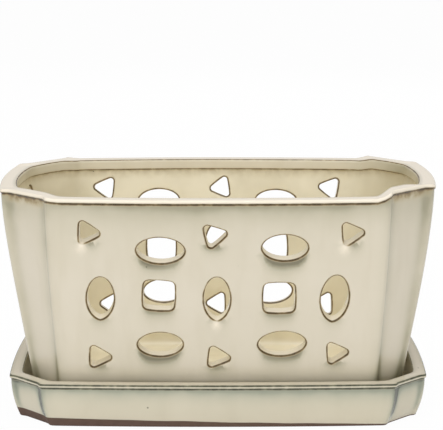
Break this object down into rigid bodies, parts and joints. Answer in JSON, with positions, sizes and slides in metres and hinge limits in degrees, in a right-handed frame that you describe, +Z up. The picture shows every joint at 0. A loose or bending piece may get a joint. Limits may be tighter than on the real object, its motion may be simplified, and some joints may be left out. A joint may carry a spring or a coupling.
{
  "type": "slotted orchid pot",
  "caption": "Long glazed ceramic orchid pot with air slots cut through its leaning walls, cut corners and a flat lip, standing in a matching drip tray that it lifts out of.",
  "frame": {"origin": "centre of the tray's footprint, on the surface that it stands on", "axes": "+X along the pot's length, +Y from its front to its back, +Z up"},
  "size_m": [0.254, 0.155, 0.1315],
  "materials": {
    "pot_glaze": "glossy cream stoneware glaze that breaks brown on its edges",
    "tray_glaze": "the same glaze, greyer where it pools, over a bare clay foot"
  },
  "bodies": {
    "tray": {"drip_tray": "tray_glaze"},
    "pot": {"pot": "pot_glaze"}
  },
  "joints": [
    {"name": "pot_lift", "type": "slide", "parent": "tray", "child": "pot", "axis": [0, 0, 1], "range_m": [0, 0.06]}
  ]
}
